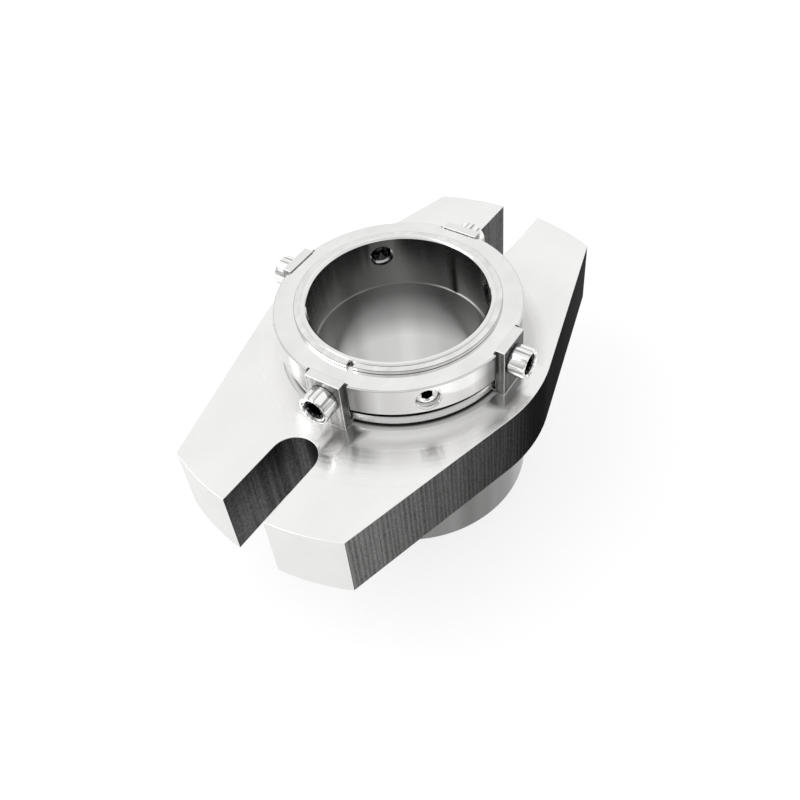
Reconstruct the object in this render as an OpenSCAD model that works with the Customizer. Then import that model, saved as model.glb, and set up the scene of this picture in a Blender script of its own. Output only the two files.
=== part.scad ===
// Cartridge mechanical seal for a pump shaft: slotted gland plate, sleeve with drive collar,
// four setting clips, stationary seat and spring loaded rotary face. Millimetres.
// Z is the shaft axis, the inboard end of the sleeve stands on z = 0, X runs through the two slots.

/* [Shaft sleeve] */
// Shaft diameter the sleeve is bored for
shaft_d = 50; // [41:0.5:61]
// Wall of the sleeve inside the seal
sleeve_wall = 2.4; // [2:0.1:3.5]
// Radial step of the sleeve under the drive collar
nose_step = 0.4; // [0.2:0.1:0.8]
// Radial relief of the outboard half of the bore
bore_relief = 0.35; // [0.1:0.05:0.5]
// Height of the flange at the inboard end
flange_h = 6; // [5:0.1:8]
// How far the sleeve stands out of the drive collar
sleeve_out = 1.6; // [1.3:0.1:3]
// Wire diameter of the O-ring that seals the sleeve on the shaft
shaft_cord = 2.2; // [1.8:0.1:2.7]

/* [Gland plate] */
// Length over both slotted ends
gland_len = 140; // [116:1:170]
// Thickness of the plate
gland_t = 21.5; // [17.5:0.5:26]
// Width across each slotted end
arm_w = 54.2; // [44:0.2:66]
// Width of the open bolt slots
slot_w = 13; // [10.5:0.5:16]
// Land between the gasket and the slot roots
slot_land = 2.5; // [2:0.1:6]
// Land between the gasket and the plate's flank
flank_land = 2.2; // [1.8:0.1:6]
// Height of the boss over the plate
boss_h = 3.2; // [2.6:0.1:4]
// Height of the clip groove under the boss lip
groove_h = 1.4; // [1.1:0.1:1.7]
// Depth of the clip groove
groove_d = 1.4; // [1.1:0.1:1.8]
// Radial width of the gasket
gasket_w = 3.7; // [3:0.1:5]
// Thickness of the gasket
gasket_t = 1.4; // [1.1:0.1:1.8]

/* [Drive collar] */
// Radial wall of the collar
collar_wall = 7.7; // [6.4:0.1:9.5]
// Axial length of the collar
collar_h = 9; // [8:0.1:11]
// Axial gap between boss and collar
collar_gap = 3.1; // [2.5:0.1:4]
// Thread diameter of the four shaft set screws
set_screw_d = 6; // [5:0.5:7.5]
// Hexagon key of the set screws
set_key = 3; // [2.5:0.5:3.5]
// Thickness of the retaining ring
ring_t = 1.1; // [0.9:0.1:1.3]
// Radial width of the retaining ring outside the sleeve
ring_w = 1.85; // [1.5:0.05:2.3]

/* [Setting clips] */
// Width of a clip
clip_w = 10.8; // [9:0.2:13]
// Radial thickness of a clip
clip_t = 2.85; // [2.3:0.05:3.5]
// Room beside a clip in its seat
clip_room = 0.9; // [0.7:0.1:1.1]
// How far the clips stand over the collar
clip_proud = 0.5; // [0.4:0.1:0.6]
// Depth of the clip seats in the collar
seat_depth = 1.5; // [1.2:0.1:1.8]
// Thread diameter of the clip screws
screw_d = 5; // [4:0.5:6]
// Head diameter of the clip screws
screw_head_d = 8.8; // [7.3:0.1:10.6]
// Head height of the clip screws
screw_head_h = 5; // [4.1:0.1:6]
// Hexagon key of the clip screws
screw_key = 4; // [3:0.5:4.5]

/* [Seal head] */
// Depth of the seal head below the mounting face
head_h = 28; // [23:0.5:34]
// Wall of the seal head shell
shell_wall = 3; // [2.5:0.1:4]
// Thickness of the shell's floor, which holds springs and drive pins
floor_t = 8; // [6.6:0.1:9.6]
// Diameter of the two drive pins
drive_pin_d = 2.2; // [1.8:0.1:2.7]
// Wire diameter of the O-ring under the rotary face
face_cord = 2.5; // [2:0.1:3]
// Wire diameter of the springs
spring_wire = 0.56; // [0.46:0.02:0.68]
// Mean diameter of the springs
spring_d = 2.5; // [2.1:0.1:3]

/* [Seal faces] */
// Axial length of the stationary seat
seat_len = 10.2; // [8.6:0.1:12.2]
// Radial gap between the sleeve and the stationary seat
seat_clear = 1.1; // [0.9:0.1:1.3]
// Wire diameter of the O-ring behind the seat
seat_cord = 2.5; // [2:0.1:3]
// Diameter of the pin that keeps the seat from turning
seat_pin_d = 2.5; // [2:0.1:3]
// Width of the raised sealing land
land_w = 2.8; // [2.3:0.1:3.3]
// Height of the raised sealing land
land_h = 5; // [4:0.1:6]
// Working gap between the sealing faces
face_gap = 0.02; // [0.01:0.01:0.05]
// How far the rotary face can be pushed back on its springs
face_travel = 1.2; // [1:0.1:1.5]

/* [Hidden] */
$fn = 96;
// Clearances: a close fit, a running fit, the room round an O-ring, and how far a cut reaches past
fit = 0.05;
run = 0.2;
cord_room = 0.15;
eps = 1;
// Edge breaks: fine on the clip side, coarse on the bore ends
edge = 0.3;
break = 0.5;
// Room in the shell beside a drive pin
pin_room = 0.55;
// Radial steps from the shell inward to the seat pocket and outward to the gasket
pocket_step = 2;
gasket_step = 1.4;
// Gap between the gland's bore and the sleeve
gland_clear = 0.8;
// Axial steps at the mounting face: the shell stops short of it, the seal faces lie past it
shell_short = 0.8;
face_depth = 3;
// Free length behind the seat's O-ring
cord_float = 1.5;
// How far the clip groove is sunk into the plate
groove_sink = 0.4;
// Turn of the sleeve, and all that turns with it, against the gland at rest, in degrees
rotor_a = 1.6;

// Radii from the shaft outward
bore_r = shaft_d / 2;
bore_relief_r = bore_r + bore_relief;
sleeve_r = bore_r + sleeve_wall;
nose_r = sleeve_r - nose_step;
face_cord_r = face_cord / 2;
face_ring_r = sleeve_r + cord_room + face_cord_r;
face_groove_r = face_ring_r + face_cord_r + cord_room;
drive_pin_r = drive_pin_d / 2;
drive_pin_at = face_groove_r + fit + drive_pin_r;
shell_in_r = drive_pin_at + drive_pin_r + pin_room;
shell_r = shell_in_r + shell_wall;
flange_r = shell_in_r - fit;
pocket_r = shell_r - pocket_step;
gasket_in_r = shell_r + gasket_step;
gasket_out_r = gasket_in_r + gasket_w;
collar_r = nose_r + fit + collar_wall;
clip_seat_r = collar_r - seat_depth;
clip_in_r = clip_seat_r + fit;
clip_out_r = clip_in_r + clip_t;
lip_r = clip_in_r - edge;
neck_r = lip_r - groove_d;
relief_r = lip_r + groove_d;
gland_bore_r = sleeve_r + gland_clear;

// Heights from the inboard end outward
z_floor = flange_h + fit;
z_floor_top = z_floor + floor_t;
z_mount = head_h;
z_shell_top = z_mount - shell_short;
z_face = z_mount + face_depth;
z_seat_top = z_face + seat_len;
z_pocket = z_seat_top + edge;
z_step = z_pocket - seat_cord - cord_float;
z_plate = z_mount + gland_t;
z_groove = z_plate - groove_sink;
z_lip = z_groove + groove_h;
z_boss = z_plate + boss_h;
z_collar = z_boss + collar_gap;
z_collar_top = z_collar + collar_h;
z_sleeve_top = z_collar_top + sleeve_out;
z_nose = z_collar - run;
z_relief = z_plate - break;

// Gland plate outline: middle circle, straight flanks that run into it, ends on one circle
mid_r = gasket_out_r + flank_land;
end_r = gland_len / 2;
arm_y = arm_w / 2;
arm_x = sqrt(end_r * end_r - arm_y * arm_y);
tangent_a = atan2(arm_y, arm_x) + acos(mid_r / end_r);
past_tangent = 2;
blend_a = tangent_a + past_tangent;
blend_x = mid_r * cos(blend_a);
blend_y = mid_r * sin(blend_a);
reach = 12;
over_x = arm_x + reach;
over_y = arm_y - reach * (blend_y - arm_y) / (arm_x - blend_x);
slot_r = slot_w / 2;
slot_x = gasket_out_r + slot_land + slot_r;
slot_half = slot_r * cos(past_tangent);

// Stationary seat, its ring and its pin
seat_r = pocket_r - run;
seat_in_r = sleeve_r + seat_clear;
seat_cord_r = seat_cord / 2;
seat_ring_r = pocket_r - cord_room - seat_cord_r;
seat_back_r = seat_ring_r - seat_cord_r - cord_room;
seat_pin_r = seat_pin_d / 2;
seat_pin_at = (seat_in_r + seat_back_r) / 2;
seat_edge = 0.6;
notch_h = 2.4;
pin_hole = 3.5;

// Shaft ring in the sleeve's flange
shaft_cord_r = shaft_cord / 2;
shaft_groove_r = bore_r + shaft_cord + run;
z_shaft_ring = flange_h / 2;

// Rotary face on its springs
thrust_t = 1.5;
z_thrust = z_floor_top + face_travel + run + fit;
z_face_low = z_thrust + thrust_t + 2 * fit;
z_face_ring = z_face_low + fit + face_cord_r;
z_face_step = z_face_ring + face_cord_r + cord_room;
z_face_shoulder = z_face - land_h;
z_face_top = z_face - face_gap;
face_in_r = sleeve_r + run;
face_out_r = shell_in_r - run;
land_in_r = seat_in_r + 2 * fit;
land_out_r = land_in_r + land_w;

// Drive pins, stuck in the floor and reaching past the thrust ring into the rotary face
drive_a = 22.5;
pin_floor = 3;
pin_fit = 0.02;
pin_lap = 3;
z_drive_pin = z_floor + pin_floor;
z_drive_pin_top = z_face_low + pin_lap;

// Springs in blind pockets of the floor
spring_count = 8;
spring_floor = 2;
spring_r = spring_d / 2;
spring_pocket_r = spring_r + spring_wire / 2 + run;
spring_at = (sleeve_r + shell_in_r) / 2;
z_spring_pocket = z_floor + spring_floor;
z_spring = z_spring_pocket + fit;
spring_len = z_thrust - 2 * fit - z_spring;
spring_turns = 7;
spring_steps = 12;
spring_sides = 6;

// Retaining ring
ring_groove_d = 0.75;
ring_groove_r = nose_r - ring_groove_d;
ring_out_r = nose_r + ring_w;
z_ring = z_collar_top + fit;
ring_gap = 1.6;
ring_gap_a = 187;

// Shaft set screws, between the clips
set_r = set_screw_d / 2;
set_tip_r = bore_relief_r + break;
set_recess = 1.5;
set_top_r = collar_r - set_recess;
set_point = 1;
cup_rim = 0.2;
cup_depth = 1.2;
set_sink = min(0.6, collar_h / 2 - set_r - edge);
// Room in the sleeve round a set screw
set_room = 0.5;
z_set = z_collar + collar_h / 2;

// Clip screws, as low in the collar as their thread allows
screw_r = screw_d / 2;
screw_head_r = screw_head_d / 2;
screw_floor = 2;
screw_wall = 0.65;
screw_end_r = nose_r + fit + screw_floor;
screw_seat_r = clip_out_r + fit;
screw_top_r = screw_seat_r + screw_head_h;
z_clip_screw = z_collar + screw_wall + fit + screw_r;
clip_seat_w = clip_w + 2 * clip_room;
z_clip = z_plate + 2 * fit;
toe_t = z_lip - z_clip - cord_room;
toe_in_r = neck_r + break;

// Disc between two heights, with an edge break on its lower and upper rim
module disc(r, z0, z1, low = 0, high = 0) {
  translate([0, 0, z0 + low])
    cylinder(r = r, h = z1 - z0 - low - high);
  if (low > 0)
    translate([0, 0, z0])
      cylinder(r1 = r - low, r2 = r, h = low);
  if (high > 0)
    translate([0, 0, z1 - high])
      cylinder(r1 = r, r2 = r - high, h = high);
}

// Tube between two heights
module tube(r_in, r_out, z0, z1) {
  difference() {
    disc(r_out, z0, z1);
    disc(r_in, z0 - eps, z1 + eps);
  }
}

// Upright round pin or hole at a radius and an angle
module upright(at_r, angle, r, z0, z1) {
  rotate([0, 0, angle])
    translate([at_r, 0, z0])
      cylinder(r = r, h = z1 - z0, $fn = 48);
}

// O-ring lying round the axis
module o_ring(mean_r, cord_r, z) {
  translate([0, 0, z])
    rotate_extrude()
      translate([mean_r, 0])
        circle(r = cord_r, $fn = 48);
}

// Cylinder lying along a radius, from r0 out to r1
module radial(angle, z, r, r0, r1) {
  rotate([0, 0, angle])
    translate([r0, 0, z])
      rotate([0, 90, 0])
        cylinder(r = r, h = r1 - r0, $fn = 64);
}

// Cone lying along a radius
module radial_cone(angle, z, ra, rb, r0, r1) {
  rotate([0, 0, angle])
    translate([r0, 0, z])
      rotate([0, 90, 0])
        cylinder(r1 = ra, r2 = rb, h = r1 - r0, $fn = 64);
}

// Hexagon socket for a key, lying along a radius
module socket(angle, z, key, r0, r1) {
  rotate([0, 0, angle])
    translate([r0, 0, z])
      rotate([0, 90, 0])
        cylinder(r = key / 2 / cos(30), h = r1 - r0, $fn = 6);
}

module gland_outline() {
  intersection() {
    circle(r = end_r, $fn = 180);
    union() {
      circle(r = mid_r, $fn = 180);
      polygon([[blend_x, blend_y], [over_x, over_y], [over_x, -over_y], [blend_x, -blend_y],
               [-blend_x, -blend_y], [-over_x, -over_y], [-over_x, over_y], [-blend_x, blend_y]]);
    }
  }
}

// Slot with a round root, open at the end of the plate
module bolt_slot() {
  translate([slot_x, 0, z_mount - eps]) {
    cylinder(r = slot_r, h = gland_t + 2 * eps);
    translate([0, -slot_half, 0])
      cube([end_r, 2 * slot_half, gland_t + 2 * eps]);
  }
}

module gland_plate() {
  color("silver")
    difference() {
      union() {
        translate([0, 0, z_mount])
          linear_extrude(gland_t)
            gland_outline();
        disc(lip_r, z_plate - eps, z_boss, high = edge);
      }
      bolt_slot();
      rotate([0, 0, 180])
        bolt_slot();
      tube(neck_r, relief_r, z_groove, z_lip);
      disc(gland_bore_r, z_mount - eps, z_boss + eps);
      disc(pocket_r, z_mount - eps, z_pocket);
      upright(seat_pin_at, 0, seat_pin_r + fit, z_pocket - eps, z_pocket + pin_hole);
      tube(gasket_in_r, gasket_out_r, z_mount - eps, z_mount + gasket_t + 2 * fit);
    }
}

module stationary_seat() {
  color("dimgray")
    difference() {
      union() {
        disc(seat_r, z_face, z_step, low = seat_edge);
        disc(seat_back_r, z_step - eps, z_seat_top);
      }
      disc(seat_in_r, z_face - eps, z_seat_top + eps);
      translate([seat_in_r - eps, -seat_pin_r - cord_room, z_seat_top - notch_h])
        cube([seat_back_r - seat_in_r + 2 * eps, seat_pin_d + 2 * cord_room, notch_h + eps]);
    }
}

module seat_oring() {
  color("black")
    o_ring(seat_ring_r, seat_cord_r, z_step + fit + seat_cord_r);
}

module seat_pin() {
  color("gainsboro")
    upright(seat_pin_at, 0, seat_pin_r, z_seat_top - notch_h + run, z_pocket + pin_hole - 2 * fit);
}

module gland_gasket() {
  color("darkslategray")
    tube(gasket_in_r + fit, gasket_out_r - fit, z_mount + fit, z_mount + gasket_t);
}

module sleeve() {
  color("gainsboro")
    difference() {
      union() {
        disc(flange_r, 0, flange_h, low = edge);
        disc(sleeve_r, flange_h - eps, z_nose);
        disc(nose_r, z_nose - eps, z_sleeve_top, high = edge);
      }
      disc(bore_r, -eps, z_sleeve_top + eps);
      disc(bore_relief_r, z_relief, z_sleeve_top + eps);
      translate([0, 0, z_sleeve_top - break])
        cylinder(r1 = bore_relief_r, r2 = bore_relief_r + break, h = break);
      cylinder(r1 = bore_r + break, r2 = bore_r, h = break);
      disc(shaft_groove_r, z_shaft_ring - shaft_cord_r - cord_room, z_shaft_ring + shaft_cord_r + cord_room);
      tube(ring_groove_r, nose_r + eps, z_ring - fit, z_ring + ring_t + fit);
      for (i = [0:3])
        radial(45 + 90 * i, z_set, set_r + set_room, bore_r - 2 * eps, nose_r + eps);
    }
}

module shaft_oring() {
  color("black")
    o_ring(bore_r + fit + shaft_cord_r, shaft_cord_r, z_shaft_ring);
}

module head_shell() {
  color("lightgray")
    difference() {
      union() {
        difference() {
          disc(shell_r, 0, z_shell_top, low = break);
          disc(shell_in_r, -eps, z_shell_top + eps);
        }
        tube(sleeve_r + fit, shell_in_r + eps, z_floor, z_floor_top);
      }
      for (i = [1:spring_count])
        upright(spring_at, 360 / spring_count * (i - 1), spring_pocket_r, z_spring_pocket, z_floor_top + eps);
      for (i = [0:1])
        upright(drive_pin_at, drive_a + 180 * i, drive_pin_r + pin_fit, z_drive_pin, z_floor_top + eps);
    }
}

// Slots for the two drive pins, open to the outside
module pin_notches(z0, z1) {
  for (i = [0:1])
    rotate([0, 0, drive_a + 180 * i])
      translate([drive_pin_at - drive_pin_r - break, -drive_pin_r - run, z0])
        cube([shell_r - drive_pin_at + drive_pin_r, drive_pin_d + 2 * run, z1 - z0]);
}

module rotary_face() {
  color("dimgray")
    difference() {
      union() {
        disc(face_out_r, z_face_low, z_face_shoulder, high = break);
        disc(land_out_r, z_face_shoulder - eps, z_face_top);
      }
      disc(face_in_r, z_face_low - eps, z_face_top + eps);
      disc(face_groove_r, z_face_low - eps, z_face_step);
      disc(land_in_r, z_face_shoulder, z_face_top + eps);
      pin_notches(z_face_low - eps, z_drive_pin_top + face_travel + edge);
    }
}

module face_oring() {
  color("black")
    o_ring(face_ring_r, face_cord_r, z_face_ring);
}

module thrust_ring() {
  color("silver")
    difference() {
      tube(sleeve_r + edge, shell_in_r - edge, z_thrust, z_thrust + thrust_t);
      pin_notches(z_thrust - eps, z_thrust + thrust_t + eps);
    }
}

module drive_pin(i) {
  color("gainsboro")
    upright(drive_pin_at, drive_a + 180 * (i - 1), drive_pin_r, z_drive_pin + fit, z_drive_pin_top);
}

// Height of the wire centre after so many turns, with closed end coils
function spring_z(turn) =
  let (w = spring_wire, dead = 1.05 * w, pitch = (spring_len - w - 2 * dead) / (spring_turns - 2))
  turn < 1 ? w / 2 + turn * dead
  : turn > spring_turns - 1 ? spring_len - w / 2 - (spring_turns - turn) * dead
  : w / 2 + dead + (turn - 1) * pitch;

// Wire of one spring: a ring of points at each step of the helix, joined by walls and two caps
module coil() {
  n = spring_turns * spring_steps;
  m = spring_sides;
  points = [for (i = [0:n]) for (j = [0:m - 1])
    let (a = 360 * i / spring_steps, b = 360 * j / m, r = spring_r + spring_wire / 2 * cos(b))
    [r * cos(a), r * sin(a), spring_z(i / spring_steps) + spring_wire / 2 * sin(b)]];
  walls = [for (i = [0:n - 1]) for (j = [0:m - 1])
    let (k = (j + 1) % m)
    each [[i * m + j, (i + 1) * m + j, (i + 1) * m + k], [i * m + j, (i + 1) * m + k, i * m + k]]];
  caps = [[for (j = [0:m - 1]) j], [for (j = [0:m - 1]) n * m + m - 1 - j]];
  polyhedron(points = points, faces = concat(walls, caps), convexity = 10);
}

module spring(i) {
  color("gray")
    rotate([0, 0, 360 / spring_count * (i - 1)])
      translate([spring_at, 0, z_spring])
        coil();
}

module drive_collar() {
  color("silver")
    difference() {
      disc(collar_r, z_collar, z_collar_top, low = edge, high = edge);
      disc(nose_r + fit, z_collar - eps, z_collar_top + eps);
      for (i = [0:3]) {
        rotate([0, 0, 90 * i])
          translate([clip_seat_r, -clip_seat_w / 2, z_collar - eps])
            cube([seat_depth + eps, clip_seat_w, collar_h + 2 * eps]);
        radial(90 * i, z_clip_screw, screw_r + fit, screw_end_r - edge, collar_r + eps);
        radial(45 + 90 * i, z_set, set_r + fit, nose_r - eps, collar_r + eps);
        radial_cone(45 + 90 * i, z_set, set_r, set_r + set_sink, collar_r - set_sink, collar_r + fit);
      }
    }
}

module retaining_ring() {
  color("gray")
    difference() {
      tube(ring_groove_r + fit, ring_out_r, z_ring, z_ring + ring_t);
      rotate([0, 0, ring_gap_a])
        translate([ring_groove_r - eps, -ring_gap / 2, z_ring - eps])
          cube([ring_out_r - ring_groove_r + 2 * eps, ring_gap, ring_t + 2 * eps]);
    }
}

// Grub screw with a key socket outside and a cup point on the shaft side
module set_screw(i) {
  a = 45 + 90 * (i - 1);
  color("dimgray")
    difference() {
      union() {
        radial(a, z_set, set_r, set_tip_r + set_point, set_top_r - edge);
        radial_cone(a, z_set, set_r - set_point, set_r, set_tip_r, set_tip_r + set_point);
        radial_cone(a, z_set, set_r, set_r - edge, set_top_r - edge, set_top_r);
      }
      socket(a, z_set, set_key, set_top_r - set_r, set_top_r + eps);
      radial_cone(a, z_set, set_r - set_point - cup_rim, fit, set_tip_r - fit, set_tip_r + cup_depth);
    }
}

// Flat bar against the collar, whose toe lies under the boss lip
module clip(i) {
  color("silver")
    difference() {
      rotate([0, 0, 90 * (i - 1)])
        union() {
          translate([clip_in_r, -clip_w / 2, z_clip])
            cube([clip_t, clip_w, z_collar_top + clip_proud - z_clip]);
          translate([toe_in_r, -clip_w / 2, z_clip])
            cube([clip_in_r - toe_in_r + eps, clip_w, toe_t]);
        }
      radial(90 * (i - 1), z_clip_screw, screw_r + run, toe_in_r - eps, clip_out_r + eps);
    }
}

module clip_screw(i) {
  a = 90 * (i - 1);
  color("gray")
    difference() {
      union() {
        radial(a, z_clip_screw, screw_r, screw_end_r + break, screw_seat_r + eps);
        radial_cone(a, z_clip_screw, screw_r - break, screw_r, screw_end_r, screw_end_r + break);
        radial(a, z_clip_screw, screw_head_r, screw_seat_r, screw_top_r - break);
        radial_cone(a, z_clip_screw, screw_head_r, screw_head_r - break, screw_top_r - break, screw_top_r);
      }
      socket(a, z_clip_screw, screw_key, screw_top_r - screw_head_h / 2, screw_top_r + eps);
    }
}

// Turns a piece of the rotor to its place at rest
module turned() {
  rotate([0, 0, rotor_a])
    children();
}

gland_plate();
stationary_seat();
seat_oring();
seat_pin();
gland_gasket();
turned() sleeve();
turned() shaft_oring();
turned() head_shell();
turned() rotary_face();
turned() face_oring();
turned() thrust_ring();
turned() drive_pin(1);  // drive_pin_1
turned() drive_pin(2);  // drive_pin_2
turned() spring(1);  // spring_1
turned() spring(2);  // spring_2
turned() spring(3);  // spring_3
turned() spring(4);  // spring_4
turned() spring(5);  // spring_5
turned() spring(6);  // spring_6
turned() spring(7);  // spring_7
turned() spring(8);  // spring_8
turned() drive_collar();
turned() retaining_ring();
turned() set_screw(1);  // set_screw_1
turned() set_screw(2);  // set_screw_2
turned() set_screw(3);  // set_screw_3
turned() set_screw(4);  // set_screw_4
turned() clip(1);  // clip_1
turned() clip(2);  // clip_2
turned() clip(3);  // clip_3
turned() clip(4);  // clip_4
turned() clip_screw(1);  // clip_screw_1
turned() clip_screw(2);  // clip_screw_2
turned() clip_screw(3);  // clip_screw_3
turned() clip_screw(4);  // clip_screw_4
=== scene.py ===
# Cartridge mechanical seal for a 50 mm pump shaft, standing on the inboard end of its seal head.
# Z is the shaft axis, and X runs through the two bolt slots of the gland plate. Lengths are in metres.
import math

import bmesh
import bpy
from mathutils import Matrix, Vector


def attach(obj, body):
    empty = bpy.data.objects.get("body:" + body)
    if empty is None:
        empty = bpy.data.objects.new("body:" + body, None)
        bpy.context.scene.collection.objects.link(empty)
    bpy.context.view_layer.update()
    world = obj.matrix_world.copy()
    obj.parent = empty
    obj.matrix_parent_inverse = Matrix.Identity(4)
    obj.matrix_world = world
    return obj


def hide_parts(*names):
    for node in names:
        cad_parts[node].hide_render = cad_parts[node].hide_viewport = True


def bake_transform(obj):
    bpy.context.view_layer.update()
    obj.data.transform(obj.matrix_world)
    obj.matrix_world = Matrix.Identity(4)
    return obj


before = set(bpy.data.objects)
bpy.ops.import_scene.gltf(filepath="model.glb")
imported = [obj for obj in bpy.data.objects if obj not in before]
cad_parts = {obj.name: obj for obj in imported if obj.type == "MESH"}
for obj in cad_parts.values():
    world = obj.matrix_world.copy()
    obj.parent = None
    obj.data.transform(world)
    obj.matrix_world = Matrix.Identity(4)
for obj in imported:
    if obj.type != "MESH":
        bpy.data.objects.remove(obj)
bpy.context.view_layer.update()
MM = 0.001

# Camera: looks down on the near left slot of the gland plate from arm's length, leaning a little.
# The seal stands left of the middle of the picture.
camera_data = bpy.data.cameras.new("camera")
camera_data.sensor_width = 36
camera_data.lens = 41.53
camera_data.shift_x = -0.075
camera_data.shift_y = -0.0375
camera_data.clip_start = 10 * MM
camera = bpy.data.objects.new("camera", camera_data)
bpy.context.scene.collection.objects.link(camera)
bpy.context.scene.camera = camera

camera_place = Vector((-150.5, -119.1, 234.8)) * MM
camera_azimuth = math.radians(33.53)
camera_dip = math.radians(46.18)
camera_roll = math.radians(-2.42)
ahead = Vector((math.cos(camera_azimuth) * math.cos(camera_dip),
                math.sin(camera_azimuth) * math.cos(camera_dip), -math.sin(camera_dip)))
level = ahead.cross(Vector((0, 0, 1))).normalized()
upright = level.cross(ahead)
right = math.cos(camera_roll) * level + math.sin(camera_roll) * upright
camera.matrix_world = (Matrix.Translation(camera_place)
                       @ Matrix((right, right.cross(ahead), -ahead)).transposed().to_4x4())
bpy.context.scene.view_settings.view_transform = "Standard"


# Surroundings: a white table and a bright room, darker where the photographer stands, so that
# polished edges have something to mirror. One wide soft lamp hangs behind the left arm.
class Wire:
    """Output of a shader node that Python arithmetic works on; [name] gives the node's other outputs"""

    def __init__(self, tree, made=None, output=0):
        self.tree = tree
        self.made = made
        self.output = output

    def __getitem__(self, output):
        return Wire(self.tree, self.made, output)

    def node(self, kind, settings=None, inputs=None, output=0):
        """Adds a node with its settings, then the values or links of its sockets"""
        made = self.tree.nodes.new("ShaderNode" + kind)
        for key, value in (settings or {}).items():
            if key == "stops":
                ramp = made.color_ramp.elements
                while len(ramp) < len(value):
                    ramp.new(1.0)
                for stop, (place, shade) in zip(ramp, value):
                    stop.position = place
                    stop.color = grey(shade)
            else:
                setattr(made, key, value)
        for key, value in (inputs or {}).items():
            if isinstance(value, Wire):
                self.tree.links.new(value.made.outputs[value.output], made.inputs[key])
            else:
                made.inputs[key].default_value = value
        return Wire(self.tree, made, output)

    def math(self, operation, first, second=0.0):
        return self.node("Math", {"operation": operation}, {0: first, 1: second})

    def __add__(self, other):
        return self.math("ADD", self, other)

    def __sub__(self, other):
        return self.math("SUBTRACT", self, other)

    def __rsub__(self, other):
        return self.math("SUBTRACT", other, self)

    def __mul__(self, other):
        return self.math("MULTIPLY", self, other)

    def __abs__(self):
        return self.math("ABSOLUTE", self)

    __radd__ = __add__
    __rmul__ = __mul__

    def ramp(self, *stops):
        """Value that this one becomes through (place, shade) stops"""
        return self.node("ValToRGB", {"stops": stops}, {0: self})

    def vector(self, operation, second=(0, 0, 0), output=0):
        return self.node("VectorMath", {"operation": operation}, {0: self, 1: second}, output)

    def stretch(self, factors):
        """Place with its coordinates multiplied, so that a pattern on it is stretched"""
        return self.vector("MULTIPLY", factors)

    def dot(self, direction):
        """How far this place lies along a direction"""
        return self.vector("DOT_PRODUCT", direction, "Value")

    def length(self):
        return self.vector("LENGTH", output="Value")

    def part(self, axis):
        """One coordinate of this place: X, Y or Z"""
        return self.node("SeparateXYZ", None, {0: self}, axis)

    def noise(self, scale, detail):
        """Noise between 0 and 1 at this place, so many cells to the metre"""
        return self.node("TexNoise", None, {"Vector": self, "Scale": scale, "Detail": detail})


def grey(level):
    return (level, level, level, 1)


world = bpy.data.worlds.new("studio")
bpy.context.scene.world = world
world.use_nodes = True
world.node_tree.nodes.clear()
sky = Wire(world.node_tree)
away_from_camera = sky.node("TexCoord").dot((0.62, 0.41, 0.67)) * 0.5 + 0.5
room_shade = away_from_camera.ramp((0.2, 0.35), (0.45, 0.8), (0.7, 0.95), (1.0, 1.0))
room = sky.node("Background", None, {"Color": room_shade, "Strength": 1.0})
backdrop = sky.node("Background", None, {"Color": grey(1), "Strength": 1.0})
seen = sky.node("LightPath")["Is Camera Ray"]
sky.node("OutputWorld", None, {"Surface": sky.node("MixShader", None, {0: seen, 1: room, 2: backdrop})})

table_mesh = bpy.data.meshes.new("table")
table_shape = bmesh.new()
bmesh.ops.create_grid(table_shape, x_segments=1, y_segments=1, size=3.0)
table_shape.to_mesh(table_mesh)
table_shape.free()
table = bpy.data.objects.new("table", table_mesh)
bpy.context.scene.collection.objects.link(table)

# The table lights the seal as white paint does, but shows an even white with only a thin shadow.
table_white = bpy.data.materials.new("table_white")
table_white.use_nodes = True
table_white.node_tree.nodes.clear()
top = Wire(table_white.node_tree)
paint = top.node("BsdfDiffuse", None, {"Color": grey(0.8)})
thin_paint = top.node("BsdfDiffuse", None, {"Color": grey(0.25)})
glow = top.node("Emission", None, {"Color": grey(1), "Strength": 0.77})
lit = top.node("AddShader", None, {0: thin_paint, 1: glow})
rays = top.node("LightPath")
seen = top.math("MAXIMUM", rays["Is Camera Ray"], rays["Is Glossy Ray"])
seen = top.math("MAXIMUM", seen, rays["Is Transmission Ray"])
top.node("OutputMaterial", None, {"Surface": top.node("MixShader", None, {0: seen, 1: paint, 2: lit})})
table_mesh.materials.append(table_white)

lamp_data = bpy.data.lights.new("soft_lamp", "AREA")
lamp_data.shape = "DISK"
lamp_data.size = 0.8
lamp_data.energy = 3.0
lamp = bpy.data.objects.new("soft_lamp", lamp_data)
lamp.location = (-0.35, 0.45, 0.75)
lamp.rotation_euler = (Vector((0, 0, 0.05)) - lamp.location).to_track_quat("-Z", "Y").to_euler()
bpy.context.scene.collection.objects.link(lamp)

# Gland plate: stainless lozenge, faced on the lathe, its flanks and slots cut with a side mill and painted
# dark as shade. The boss on top has the groove for the clips under its lip. Two bolts in the open slots
# hold it to the pump.
gland_top_z = 49.5 * MM
gland_groove_z = 49.1 * MM
gland_step_z = 40 * MM
gland_end_r = 70 * MM
gland_boss_r = 34.5 * MM
gland_neck_r = 32 * MM
gland_slot_y = 7 * MM
gland_flank_way = (0.88, -0.47, 0)
rotor_turn = math.radians(1.6)


def steel_grey(level):
    """Grey with the faint warmth of steel"""
    return (level, level * 0.995, level * 0.985, 1)


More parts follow.
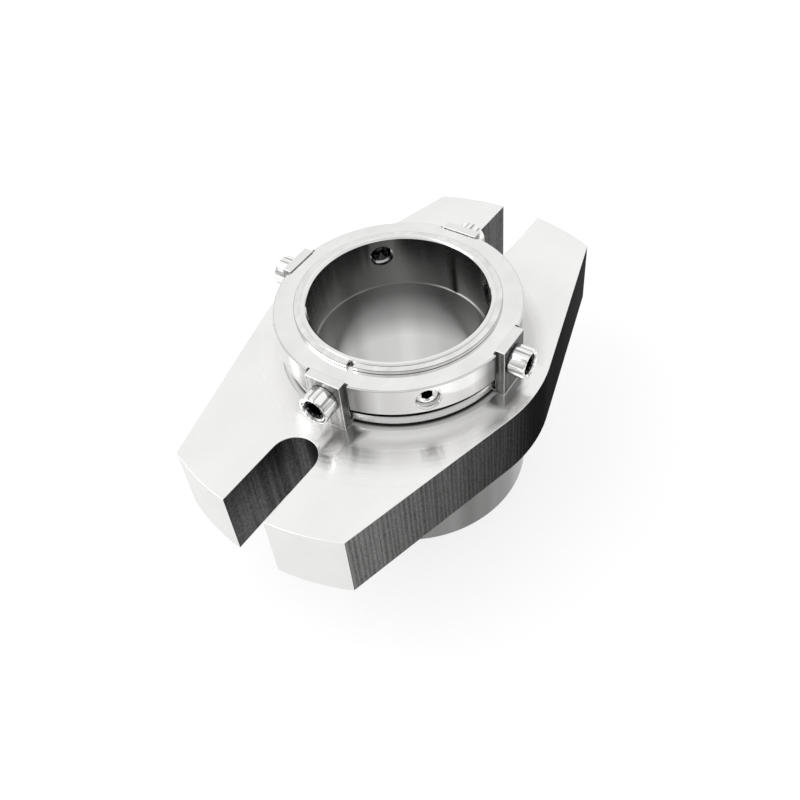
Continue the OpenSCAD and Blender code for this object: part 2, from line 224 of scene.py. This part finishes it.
def new_material(name, low, high, roughness, marks, metallic=1.0, grazing=1.0):
    """Material whose marks(start) give a tone from 0 to 1, which runs from grey low to grey high, and
    a height from 0 to 1 with its depth in metres. Grazing is how much it shines at flat angles"""
    material = bpy.data.materials.new(name)
    material.use_nodes = True
    material.node_tree.nodes.clear()
    start = Wire(material.node_tree)
    tone, height, depth = marks(start)
    color = start.node("Mix", {"data_type": "RGBA"}, {0: tone, 6: steel_grey(low), 7: steel_grey(high)}, 2)
    bump = start.node("Bump", None, {"Strength": 1.0, "Distance": depth, "Height": height})
    surface = start.node("BsdfPrincipled", None, {
        "Base Color": color,
        "Metallic": metallic(start) if callable(metallic) else metallic,
        "Roughness": (0.5 - tone) * 0.06 + roughness,
        "Normal": bump,
        "Specular Tint": grey(grazing)})
    start.node("OutputMaterial", None, {"Surface": surface})
    return material


def spot(start):
    """Place on the piece, in metres"""
    return start.node("TexCoord")["Object"]


def lathe_marks(pitch, depth, cloud_size=12 * MM):
    """Fine grooves round the shaft axis, which change with the radius and the height only, under a
    faint cloudiness left by polishing"""
    def marks(start):
        place = spot(start)
        section = start.node("CombineXYZ", None, {0: place.stretch((1, 1, 0)).length(), 1: place.part("Z")})
        grooves = section.noise(1 / pitch, 3.0)
        cloud = place.stretch((1, 1.6, 1)).noise(1 / cloud_size, 3.0).ramp((0.3, 0), (0.7, 1))
        return cloud * 0.7 + grooves * 0.3, grooves, depth
    return marks


def mill_marks(pitch, depth, tooth=0.0):
    """Upright scallops that a side mill leaves on a wall, with a torn grain over them. Where the step of its
    teeth is given, they are regular, and painted light makes the wall lighter towards the left"""
    def marks(start):
        place = spot(start)
        bands = place.stretch((1, 1, 0.03)).noise(1 / pitch, 1.0).ramp((0.35, 0), (0.65, 1))
        grain = place.stretch((1, 1, 0.6)).noise(3 / pitch, 4.0).ramp((0.35, 0), (0.65, 1))
        tone = bands * 0.45 + grain * 0.55
        if tooth:
            along = place.vector("ABSOLUTE").dot(gland_flank_way)
            teeth = start.math("SINE", along * (2 * math.pi / tooth) + bands * 2.5) * 0.5 + 0.5
            # Painted light: the wall is lighter towards the left end of the plate and darker towards the
            # right.
            across_plate = place.part("X") * (1 / (200 * MM)) + 0.5
            light = across_plate.ramp((0.18, 1), (0.34, 0.62), (0.5, 0.16), (0.62, 0.13), (0.85, 0.35))
            tone = (teeth * 0.3 + grain * 0.4 + 0.3) * light
        return tone, tone, depth
    return marks


def from_axis(start):
    """Distance from the shaft axis, as a share of 50 mm"""
    return spot(start).stretch((1, 1, 0)).length() * (1 / (50 * MM))


def from_clips(start):
    """Distance from the nearer of the two planes that the clips stand in, as a share of 25 mm"""
    place = spot(start)
    across = place.dot((math.cos(rotor_turn), math.sin(rotor_turn), 0))
    along = place.dot((-math.sin(rotor_turn), math.cos(rotor_turn), 0))
    return start.math("MINIMUM", abs(across), abs(along)) * (1 / (25 * MM))


def shoulder_polish(start):
    """Share of bare polished metal: small on the matt ring that the facing tool leaves next to the
    boss, but full where the feet of the clips have rubbed it bright"""
    rubbed = from_clips(start).ramp((0.36, 0.88), (0.48, 0))
    return start.math("MAXIMUM", from_axis(start).ramp((0.74, 0), (0.84, 0.88)), rubbed)


def groove_shade_marks(start):
    """Floor of the groove: painted shade makes it dark under the lip, and it is faced bright outside of it
    """
    bright = from_axis(start).ramp((0.652, 0), (0.666, 1))
    return bright, bright, 0.0001 * MM


def merged(node):
    """Closed copy of a CAD node's shape"""
    shape = bmesh.new()
    shape.from_mesh(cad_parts[node].data)
    bmesh.ops.remove_doubles(shape, verts=shape.verts, dist=0.001 * MM)
    return shape


def finished(name, shape, sharp=25):
    """Object from a bmesh, smooth but for edges of more than so many degrees"""
    mesh = bpy.data.meshes.new(name)
    shape.to_mesh(mesh)
    shape.free()
    mesh.polygons.foreach_set("use_smooth", [True] * len(mesh.polygons))
    mesh.set_sharp_from_angle(angle=math.radians(sharp))
    piece = bpy.data.objects.new(name, mesh)
    bpy.context.scene.collection.objects.link(piece)
    return piece


def paint_faces(piece, materials, choose=None, edges=None):
    """Gives each face the material that choose(centre, normal) names, or else the first one, and the
    bevelled edges theirs"""
    for material in materials:
        piece.data.materials.append(material)
    for face in piece.data.polygons:
        face.material_index = materials.index(choose(face.center, face.normal)) if choose else 0
    if edges:
        piece.modifiers["edge"].material = materials.index(edges)


def machined(node, edge, body):
    """Piece in a CAD node's shape, whose sharp edges are broken by a small bevel"""
    shape = merged(node)
    bmesh.ops.dissolve_limit(shape, angle_limit=math.radians(0.4), verts=shape.verts, edges=shape.edges)
    piece = finished(node + "_machined", shape)
    bevel = piece.modifiers.new("edge", "BEVEL")
    bevel.width = edge
    bevel.segments = 2
    bevel.limit_method = "ANGLE"
    bevel.angle_limit = math.radians(25)
    bevel.harden_normals = True
    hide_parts(node)
    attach(piece, body)
    return piece


gland_bright = new_material(
    "gland_bright", 0.82, 0.9, 0.14, lathe_marks(0.15 * MM, 0.028 * MM, 30 * MM), shoulder_polish)
# Groove floor: painted shade, dark under the lip of the boss.
gland_floor = new_material("gland_floor", 0.02, 0.85, 0.5, groove_shade_marks, 0.2)
# Flanks and slot walls: painted shade keeps them dark.
gland_flank = new_material(
    "gland_flank", 0.006, 0.34, 0.45, mill_marks(1.0 * MM, 0.06 * MM, 1.4 * MM), grazing=0.2)
gland_slot = new_material("gland_slot", 0.01, 0.12, 0.4, mill_marks(1.0 * MM, 0.04 * MM))
gland_end = new_material("gland_end", 0.78, 0.82, 0.3, lathe_marks(0.3 * MM, 0.002 * MM))
# Upward faces other than the top and the groove floor, such as the top of the boss under the collar: painted
# shade, dark.
gland_shaded = new_material("gland_shaded", 0.04, 0.26, 0.3, lathe_marks(0.2 * MM, 0.003 * MM, 5 * MM))
gland_inside = new_material("gland_inside", 0.7, 0.85, 0.35, lathe_marks(0.2 * MM, 0.003 * MM, 5 * MM))


def gland_surface(centre, normal):
    if normal.z > 0.9:
        if abs(centre.z - gland_groove_z) < 0.1 * MM:
            return gland_floor
        return gland_bright if abs(centre.z - gland_top_z) < 0.1 * MM else gland_shaded
    if normal.z < -0.9 or centre.xy.length < gland_boss_r:
        outside = centre.xy.length > gland_neck_r or centre.z < gland_step_z
        return gland_bright if outside else gland_inside
    if centre.xy.length > gland_end_r - 0.4 * MM:
        return gland_end
    return gland_slot if abs(centre.y) < gland_slot_y else gland_flank


gland = machined("gland_plate", 0.2 * MM, "gland")
gland_finishes = [gland_bright, gland_flank, gland_end, gland_shaded, gland_inside, gland_slot, gland_floor]
paint_faces(gland, gland_finishes, gland_surface, edges=gland_bright)

# Drive collar: turned from stainless bar and polished outside, with four milled seats for the clips.
# Its set screws clamp it to the sleeve and drive the sleeve from the shaft.
collar_r = 34.75 * MM
band_depth = 0.01 * MM


def drawn_bands(start):
    """Faint bands along the shaft axis, as polishing and honing leave them"""
    return spot(start).stretch((1, 1, 0.03)).noise(1 / (9 * MM), 1.0)


def collar_shade_marks(start):
    """Bands up the outside, with painted shade that darkens it next to the clips' seats"""
    bands = drawn_bands(start)
    # Painted shade: the outside is darker next to the clips.
    reach = from_clips(start).ramp((0.26, 0), (0.36, 0.15), (0.45, 0.6), (0.56, 1))
    return (bands * 0.5 + 0.65) * reach, bands, band_depth


def facing(centre, normal):
    """1 where a face looks away from the shaft axis, and -1 where it looks at it"""
    return centre.xy.normalized().dot(normal.xy)


collar_bright = new_material("collar_bright", 0.76, 0.88, 0.13, lathe_marks(0.15 * MM, 0.003 * MM))
collar_seat = new_material("collar_seat", 0.3, 0.6, 0.35, mill_marks(0.5 * MM, 0.01 * MM))
collar_outside = new_material("collar_outside", 0.15, 1.0, 0.12, collar_shade_marks)
# Bevelled edges of the collar, the sleeve and the ring: painted shade, a thin dark line.
edge_shade = new_material("edge_shade", 0.12, 0.3, 0.3, lathe_marks(0.3 * MM, 0.002 * MM))


def collar_surface(centre, normal):
    """Finish of a face: the screw holes, halfway between the clips' seats, are as bright as the top"""
    if facing(centre, normal) > 0.985 and centre.xy.length > collar_r - 0.75 * MM:
        return collar_outside
    past_screw = (math.degrees(math.atan2(centre.y, centre.x) - rotor_turn) - 45) % 90
    at_screw = min(past_screw, 90 - past_screw) < 15
    return collar_bright if abs(normal.z) > 0.5 or at_screw else collar_seat


collar = machined("drive_collar", 0.18 * MM, "rotor")
paint_faces(collar, [collar_bright, collar_seat, collar_outside, edge_shade], collar_surface, edges=edge_shade)

# Sleeve: turned stainless tube that slides on the shaft and carries the seal head. Its lower length
# is honed to fit the shaft, and the length above is bored wider, left duller and painted darker as shade.
# Inside, painted shade greys the honed bore towards the top, and painted light brightens two opposite sides.
sleeve_relief_z = 49 * MM
sleeve_neck_z = 56 * MM
honed_low_z = 27 * MM
honed_len = 22 * MM
bore_r = 25.64 * MM


def honed_light_and_shade_marks(start):
    """Bands of the honed bore, with painted light on two opposite sides and painted shade that greys it
    towards the relief
    """
    place = spot(start)
    bands = drawn_bands(start)
    # Painted light on two opposite sides of the bore.
    side = place.dot((0.79, 0.61, 0)) * (1 / bore_r)
    height = (place.part("Z") - honed_low_z) * (1 / honed_len)
    # Painted shade: greyer towards the top of the honed length.
    fading = height.ramp((0, 0.9), (0.38, 0.4), (0.84, 0.1), (1, 0.08))
    return (bands * 0.5 + side * side * 0.6) * fading, bands, band_depth


def band_marks(start):
    """Bands of a turned wall that was only polished"""
    bands = drawn_bands(start)
    return bands * 0.7 + 0.15, bands, band_depth


sleeve_bright = new_material("sleeve_bright", 0.74, 0.88, 0.14, lathe_marks(0.15 * MM, 0.003 * MM))
sleeve_bore = new_material("sleeve_bore", 0.12, 0.98, 0.2, honed_light_and_shade_marks)
# Wider length at the top of the bore: a duller finish, painted darker still as shade.
sleeve_relief_shaded = new_material("sleeve_relief_shaded", 0.07, 0.36, 0.26, band_marks)
# Outside of the sleeve below the collar: painted shade, greyer, so that the gap under the collar is dark.
sleeve_neck_shade = new_material("sleeve_neck_shade", 0.4, 0.6, 0.3, lathe_marks(0.3 * MM, 0.003 * MM))


def sleeve_surface(centre, normal):
    if facing(centre, normal) < -0.9:
        return sleeve_relief_shaded if centre.z > sleeve_relief_z else sleeve_bore
    return sleeve_neck_shade if facing(centre, normal) > 0.9 and centre.z < sleeve_neck_z else sleeve_bright


sleeve = machined("sleeve", 0.12 * MM, "rotor")
sleeve_finishes = [sleeve_bright, sleeve_bore, sleeve_relief_shaded, sleeve_neck_shade, edge_shade]
paint_faces(sleeve, sleeve_finishes, sleeve_surface, edges=edge_shade)

# Retaining ring: flat ring of spring steel with a gap, snapped into a groove near the end of the
# sleeve, where it keeps the collar from sliding off.
ring_steel = new_material("ring_steel", 0.66, 0.88, 0.2, lathe_marks(0.2 * MM, 0.003 * MM, 5 * MM))
retaining_ring = machined("retaining_ring", 0.12 * MM, "rotor")
paint_faces(retaining_ring, [ring_steel, edge_shade], edges=edge_shade)

# Setting clips: flat milled bars, ground on top, that hold the collar at its height over the gland
# until the seal is set on its shaft. Their fronts are painted dark as shade, and the clip over the near slot
# is painted lighter in front.
clip_milled = new_material("clip_milled", 0.12, 0.5, 0.35, mill_marks(0.9 * MM, 0.04 * MM))
clip_front_shade = new_material("clip_front_shade", 0.01, 0.12, 0.35, mill_marks(0.9 * MM, 0.04 * MM))
clip_ground = new_material("clip_ground", 0.74, 0.84, 0.2, lathe_marks(0.3 * MM, 0.002 * MM))


def clip_surface(front):
    def choose(centre, normal):
        if normal.z > 0.9:
            return clip_ground
        return front if facing(centre, normal) > 0.9 else clip_milled
    return choose


for number in range(1, 5):
    # Painted shade on the clips' fronts, lighter on the clip over the near slot.
    front = clip_milled if number == 3 else clip_front_shade
    clip = machined(f"clip_{number}", 0.15 * MM, f"clip_set_{number}")
    paint_faces(clip, [front, clip_ground, clip_milled], clip_surface(front), edges=clip_ground)

# Clip screws: bright socket head cap screws, lying radially. The end of the head is dished inside its
# rim, and the shank is threaded into the collar. Sizes of rings are in millimetres from the head's end.
ROUND = 48
clip_screw_end_r = 41.2 * MM
clip_screw_z = 59.0 * MM
clip_screw_rings = [
    (2.25, -2.5, 6), (2.25, -0.75, 6), (2.5, -0.7), (3.0, -0.45), (3.3, -0.15), (3.6, -0.02), (3.85, 0),
    (4.2, -0.1), (4.35, -0.28), (4.4, -0.5), (4.4, -4.85), (4.3, -4.95), (2.5, -5), (2.5, -7)]
for turn in range(6):
    clip_screw_rings += [(2.15, -7.4 - 0.8 * turn), (2.5, -7.8 - 0.8 * turn)]
clip_screw_rings.append((2.0, -12.1))


def ring(shape, radius, height, sides=ROUND):
    """Loop of edges round the Z axis: a circle, or a hexagon with as many corners as the circle"""
    at = Matrix.Translation((0, 0, height * MM))
    made = bmesh.ops.create_circle(shape, segments=sides, radius=radius * MM, matrix=at)
    edges = list({edge for vert in made["verts"] for edge in vert.link_edges})
    if sides < ROUND:
        cut = bmesh.ops.subdivide_edges(shape, edges=edges, cuts=ROUND // sides - 1)
        edges = list({edge for edge in cut["geom"] if isinstance(edge, bmesh.types.BMEdge)} | set(edges))
    return edges


def turned(name, rings, materials, choose, place):
    """Closed piece through rings of (radius, height, sides), set in place with its own coordinates
    kept in the attribute local"""
    shape = bmesh.new()
    loops = [ring(shape, *sizes) for sizes in rings]
    for low, high in zip(loops, loops[1:]):
        bmesh.ops.bridge_loops(shape, edges=low + high)
    for loop in (loops[0], loops[-1]):
        bmesh.ops.contextual_create(shape, geom=loop)
    bmesh.ops.recalc_face_normals(shape, faces=shape.faces)
    piece = finished(name, shape)
    paint_faces(piece, materials, choose)
    local = piece.data.attributes.new("local", "FLOAT_VECTOR", "POINT")
    for vert, kept in zip(piece.data.vertices, local.data):
        kept.vector = vert.co
    piece.data.transform(place)
    return piece


def outward(quarter_turns, radius, height):
    """Place of a radial screw: its own Z points away from the shaft, with its origin at a radius"""
    angle = quarter_turns * math.pi / 2 + rotor_turn
    away = Vector((math.cos(angle), math.sin(angle), 0))
    lean = away.to_track_quat("Z", "Y").to_matrix().to_4x4()
    return Matrix.Translation(away * radius + Vector((0, 0, height))) @ lean


def local_spot(start):
    """Place on a screw, in the coordinates of the screw itself"""
    return start.node("Attribute", {"attribute_name": "local"})["Vector"]


def draw_marks(pitch, depth):
    """Fine lines along a screw's axis"""
    def marks(start):
        lines = local_spot(start).stretch((1, 1, 0.04)).noise(1 / pitch, 2.0).ramp((0.38, 0), (0.52, 1))
        return lines, lines, depth
    return marks


def glint_marks(start):
    """Few light specks, painted glints, on a dark ground"""
    specks = local_spot(start).noise(1 / (0.6 * MM), 2.0).ramp((0.5, 0.04), (0.68, 1))
    return specks, specks, 0.02 * MM


# Dish of the head: painted shade, dark, with painted glints. Floor of the socket: painted shade, black.
clip_screw_bright = new_material("clip_screw_bright", 0.35, 0.94, 0.14, draw_marks(1.3 * MM, 0.025 * MM))
clip_screw_dish = new_material("clip_screw_dish", 0.01, 0.3, 0.3, glint_marks, grazing=0.2)
socket_shade = new_material("socket_shade", 0.002, 0.01, 0.4, glint_marks, grazing=0.1)


def clip_screw_surface(centre, normal):
    if centre.z < -3 * MM or centre.xy.length > 3.1 * MM:
        return clip_screw_bright
    return socket_shade if centre.z < -2.4 * MM else clip_screw_dish


for number in range(1, 5):
    screw = turned(f"clip_screw_{number}_turned", clip_screw_rings,
                   [clip_screw_bright, clip_screw_dish, socket_shade], clip_screw_surface,
                   outward(number - 1, clip_screw_end_r, clip_screw_z))
    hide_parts(f"clip_screw_{number}")
    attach(screw, f"clip_set_{number}")

# Set screws: hardened grub screws with a hexagon socket and a cup point. They clamp the collar on the
# sleeve, and their points reach through the sleeve to bite on the shaft.
set_screw_end_r = 33.25 * MM
set_screw_z = 60.3 * MM
set_screw_rings = [
    (1.7, -2.9, 6), (1.7, -0.4, 6), (2.0, -0.15), (2.3, -0.02), (2.55, 0), (2.95, -0.35), (2.98, -0.6),
    (2.98, -6.3), (2.0, -7.38), (1.75, -7.4), (0.3, -6.3)]
set_dark = new_material("set_dark", 0.004, 0.05, 0.25, draw_marks(2.5 * MM, 0.02 * MM), grazing=0.3)
set_bright = new_material("set_bright", 0.85, 0.96, 0.12, draw_marks(0.5 * MM, 0.01 * MM))


def set_screw_surface(centre, normal):
    return set_bright if centre.z > -0.9 * MM else set_dark


for number in range(1, 5):
    screw = turned(f"set_screw_{number}_turned", set_screw_rings, [set_dark, set_bright],
                   set_screw_surface, outward(number - 0.5, set_screw_end_r, set_screw_z))
    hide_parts(f"set_screw_{number}")
    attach(screw, "rotor")

# Seal head shell: turned stainless cup below the gland, polished outside. It is fixed to the sleeve,
# and its floor carries the springs and the drive pins.
# Painted shade: the polished outside is coloured dark under the gland plate.
head_shaded = new_material("head_shaded", 0.04, 0.4, 0.2, band_marks)
paint_faces(machined("head_shell", 0.15 * MM, "rotor"), [head_shaded])

# Faces of the seal: a seat of silicon carbide in the gland and a carbon face in the head, both lapped
# flat, so that only faint rings show. They stay as the CAD has them.
seat_carbide = new_material("seat_carbide", 0.06, 0.09, 0.2, lathe_marks(0.1 * MM, 0.001 * MM), 0.0)
face_carbon = new_material("face_carbon", 0.025, 0.045, 0.4, lathe_marks(0.1 * MM, 0.001 * MM), 0.0)


def finish_nodes(names, material):
    """Gives CAD nodes their finish"""
    for name in names:
        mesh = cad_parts[name].data
        mesh.materials.clear()
        mesh.materials.append(material)


finish_nodes(["stationary_seat"], seat_carbide)
finish_nodes(["rotary_face"], face_carbon)


# Rubber rings and gasket: the rings are moulded and sit squeezed in their grooves. The gasket is cut
# from pressed fibre sheet and seals the gland against the pump.
def grain_marks(size, depth):
    """Even grain of a moulded, pressed or drawn surface"""
    def marks(start):
        grain = spot(start).noise(1 / size, 3.0)
        return grain.ramp((0.35, 0), (0.65, 1)), grain, depth
    return marks


rubber = new_material("rubber", 0.012, 0.03, 0.55, grain_marks(0.3 * MM, 0.003 * MM), 0.0)
gasket_fibre = new_material("gasket_fibre", 0.1, 0.2, 0.75, grain_marks(0.4 * MM, 0.01 * MM), 0.0)
finish_nodes(["seat_oring", "shaft_oring", "face_oring"], rubber)
finish_nodes(["gland_gasket"], gasket_fibre)

# Drive of the rotary face: a turned thrust ring behind it, and ground steel pins, pressed into the
# shell and the gland, that keep the face and the seat from turning.
finish_nodes(["thrust_ring", "drive_pin_1", "drive_pin_2", "seat_pin"], ring_steel)

# Springs: wound from drawn wire. They stand on the floor of the shell, under the thrust ring, at one
# fixed length.
spring_wire = new_material("spring_wire", 0.45, 0.7, 0.25, grain_marks(0.3 * MM, 0.002 * MM))
for number in range(1, 9):
    spring = finished(f"spring_{number}_wound", merged(f"spring_{number}"), 70)
    paint_faces(spring, [spring_wire])
    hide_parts(f"spring_{number}")
    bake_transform(spring)
